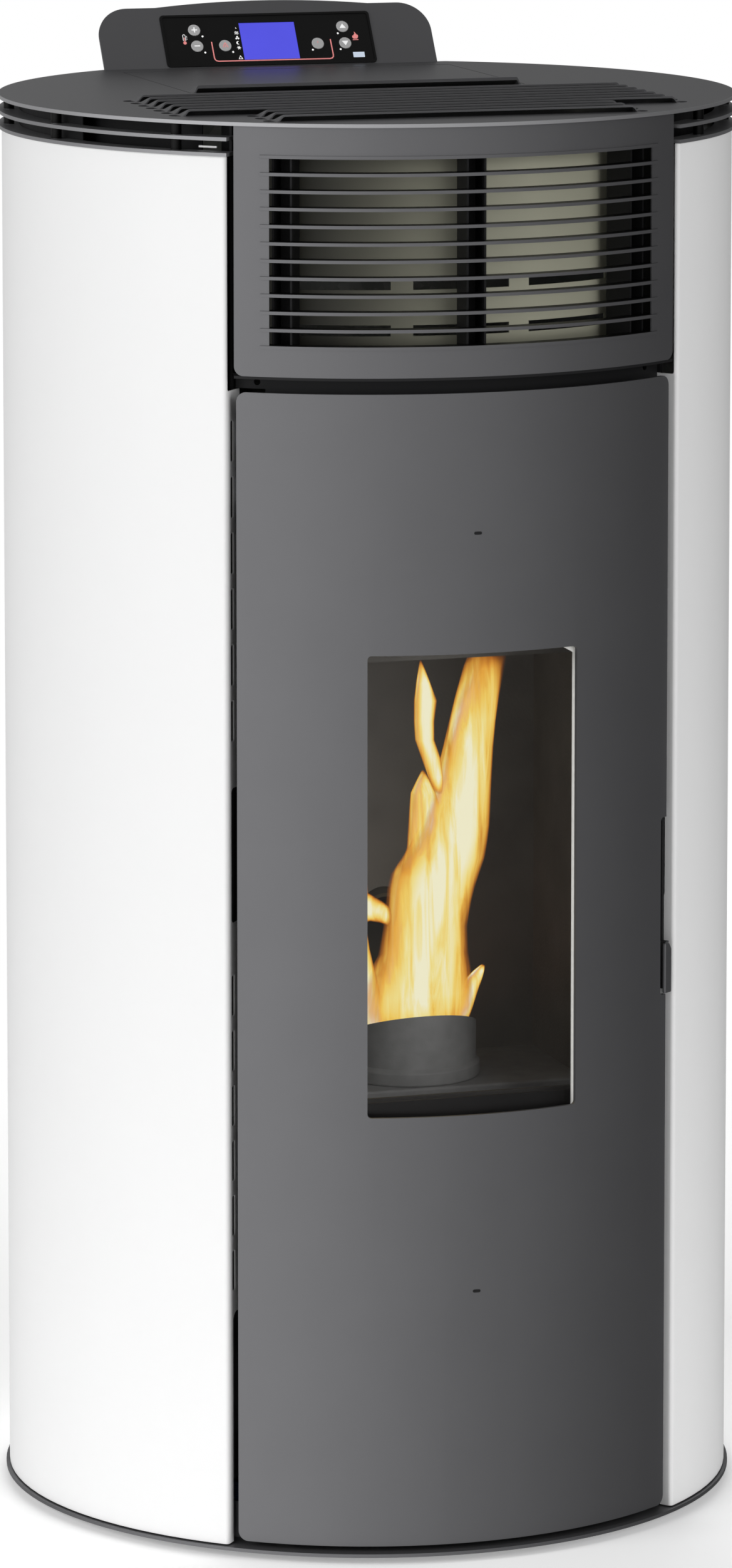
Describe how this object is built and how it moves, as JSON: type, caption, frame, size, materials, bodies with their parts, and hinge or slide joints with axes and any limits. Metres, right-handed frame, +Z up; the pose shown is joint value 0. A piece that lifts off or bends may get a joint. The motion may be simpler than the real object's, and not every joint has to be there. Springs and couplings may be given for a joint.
{
  "type": "pellet stove",
  "caption": "Round pellet stove: curved door with window, white side panels, slatted grille, louvred top, hopper lid and leaning control panel.",
  "frame": {"origin": "centre of the floor contact, on the cabinet's upright axis", "axes": "+Z up, -Y towards the door, +X to the right seen from the front"},
  "size_m": [0.56, 0.56, 1.1211],
  "materials": {
    "black_paint": "satin",
    "white_paint": "satin",
    "galvanised": "matt",
    "steel": "matt",
    "cast": "matt",
    "board": "matt",
    "ceramic_glass": "polished",
    "fibre": "matt",
    "black_plastic": "matt",
    "screen": "polished",
    "button_metal": "satin",
    "ceramic": "matt"
  },
  "bodies": {
    "cabinet": {"base_plate": "black_paint", "top_plate": "black_paint", "trim_rings": "black_paint", "grille_frame": "black_paint", "grille_slats": "black_paint", "grille_brackets": "black_paint", "front_rail": "black_paint", "frame_posts": "black_paint", "control_panel": "black_paint", "lid_hinges": "black_paint", "latch_striker": "black_paint", "side_panel_left": "white_paint", "side_panel_right": "white_paint", "rear_panel": "galvanised", "warm_air_wall": "galvanised", "firebox_plinth": "galvanised", "hopper": "galvanised", "flue_duct": "galvanised", "flue_fan_housing": "galvanised", "room_fan_housing": "galvanised", "air_inlet_pipe": "galvanised", "exhaust_pipe": "galvanised", "hopper_grid": "galvanised", "ash_drawer": "galvanised", "levelling_feet": "steel", "hinge_brackets": "steel", "heat_exchanger": "steel", "firebox_body": "steel", "auger_tube": "steel", "pellet_chute": "steel", "fan_motors": "steel", "auger_motor": "steel", "hearth_plate": "cast", "firebox_liner": "board", "baffle_plate": "board", "display_bezel": "black_plastic", "display_cover": "black_plastic", "power_inlet": "black_plastic", "display_screen": "screen", "igniter": "ceramic"},
    "door": {"door_skin": "black_paint", "door_frame": "black_paint", "door_glass": "ceramic_glass", "glass_strips": "fibre", "door_seal": "fibre", "door_hinge_leaves": "steel"},
    "handle": {"door_handle": "black_paint"},
    "lid": {"hopper_lid": "black_paint"},
    "pot": {"burn_pot": "cast"},
    "auger": {"auger_screw": "steel"},
    "flue_wheel": {"flue_fan_wheel": "steel"},
    "room_wheel": {"room_fan_wheel": "black_plastic"},
    "rocker": {"power_rocker": "black_plastic"},
    "button_plus_body": {"button_plus": "button_metal"},
    "button_minus_body": {"button_minus": "button_metal"},
    "button_heat_body": {"button_heat": "button_metal"},
    "button_power_body": {"button_power": "button_metal"},
    "button_up_body": {"button_up": "button_metal"},
    "button_down_body": {"button_down": "button_metal"}
  },
  "joints": [
    {"name": "door_swing", "type": "hinge", "parent": "cabinet", "child": "door", "pos_m": [-0.1577, -0.21235, 0.4], "axis": [0, 0, -1], "range_deg": [0, 95]},
    {"name": "handle_turn", "type": "hinge", "parent": "door", "child": "handle", "pos_m": [0.1613, -0.20646, 0.536], "axis": [-0.788, -0.6157, 0], "range_deg": [0, 45]},
    {"name": "lid_open", "type": "hinge", "parent": "cabinet", "child": "lid", "pos_m": [0, 0.206, 1.0656], "axis": [-1, 0, 0], "range_deg": [0, 98]},
    {"name": "pot_lift", "type": "slide", "parent": "cabinet", "child": "pot", "axis": [0, 0, 1], "range_m": [0, 0.06]},
    {"name": "auger_spin", "type": "hinge", "parent": "cabinet", "child": "auger", "pos_m": [0, 0.165, 0.363], "axis": [0, -0.7071, 0.7071], "continuous": true},
    {"name": "flue_fan_spin", "type": "hinge", "parent": "cabinet", "child": "flue_wheel", "pos_m": [0.06, 0.09, 0.16], "axis": [1, 0, 0], "continuous": true},
    {"name": "room_fan_spin", "type": "hinge", "parent": "cabinet", "child": "room_wheel", "pos_m": [-0.08, 0.11, 0.08], "axis": [1, 0, 0], "continuous": true},
    {"name": "rocker_tilt", "type": "hinge", "parent": "cabinet", "child": "rocker", "pos_m": [-0.096, 0.2386, 0.074], "axis": [1, 0, 0], "range_deg": [-8, 8]},
    {"name": "button_plus_press", "type": "slide", "parent": "cabinet", "child": "button_plus_body", "axis": [0, 0.8358, -0.549], "range_m": [0, 0.001], "stiffness_N_per_m": 800},
    {"name": "button_minus_press", "type": "slide", "parent": "cabinet", "child": "button_minus_body", "axis": [0, 0.8358, -0.549], "range_m": [0, 0.001], "stiffness_N_per_m": 800},
    {"name": "button_heat_press", "type": "slide", "parent": "cabinet", "child": "button_heat_body", "axis": [0, 0.8358, -0.549], "range_m": [0, 0.001], "stiffness_N_per_m": 800},
    {"name": "button_power_press", "type": "slide", "parent": "cabinet", "child": "button_power_body", "axis": [0, 0.8358, -0.549], "range_m": [0, 0.001], "stiffness_N_per_m": 800},
    {"name": "button_up_press", "type": "slide", "parent": "cabinet", "child": "button_up_body", "axis": [0, 0.8358, -0.549], "range_m": [0, 0.001], "stiffness_N_per_m": 800},
    {"name": "button_down_press", "type": "slide", "parent": "cabinet", "child": "button_down_body", "axis": [0, 0.8358, -0.549], "range_m": [0, 0.001], "stiffness_N_per_m": 800}
  ]
}
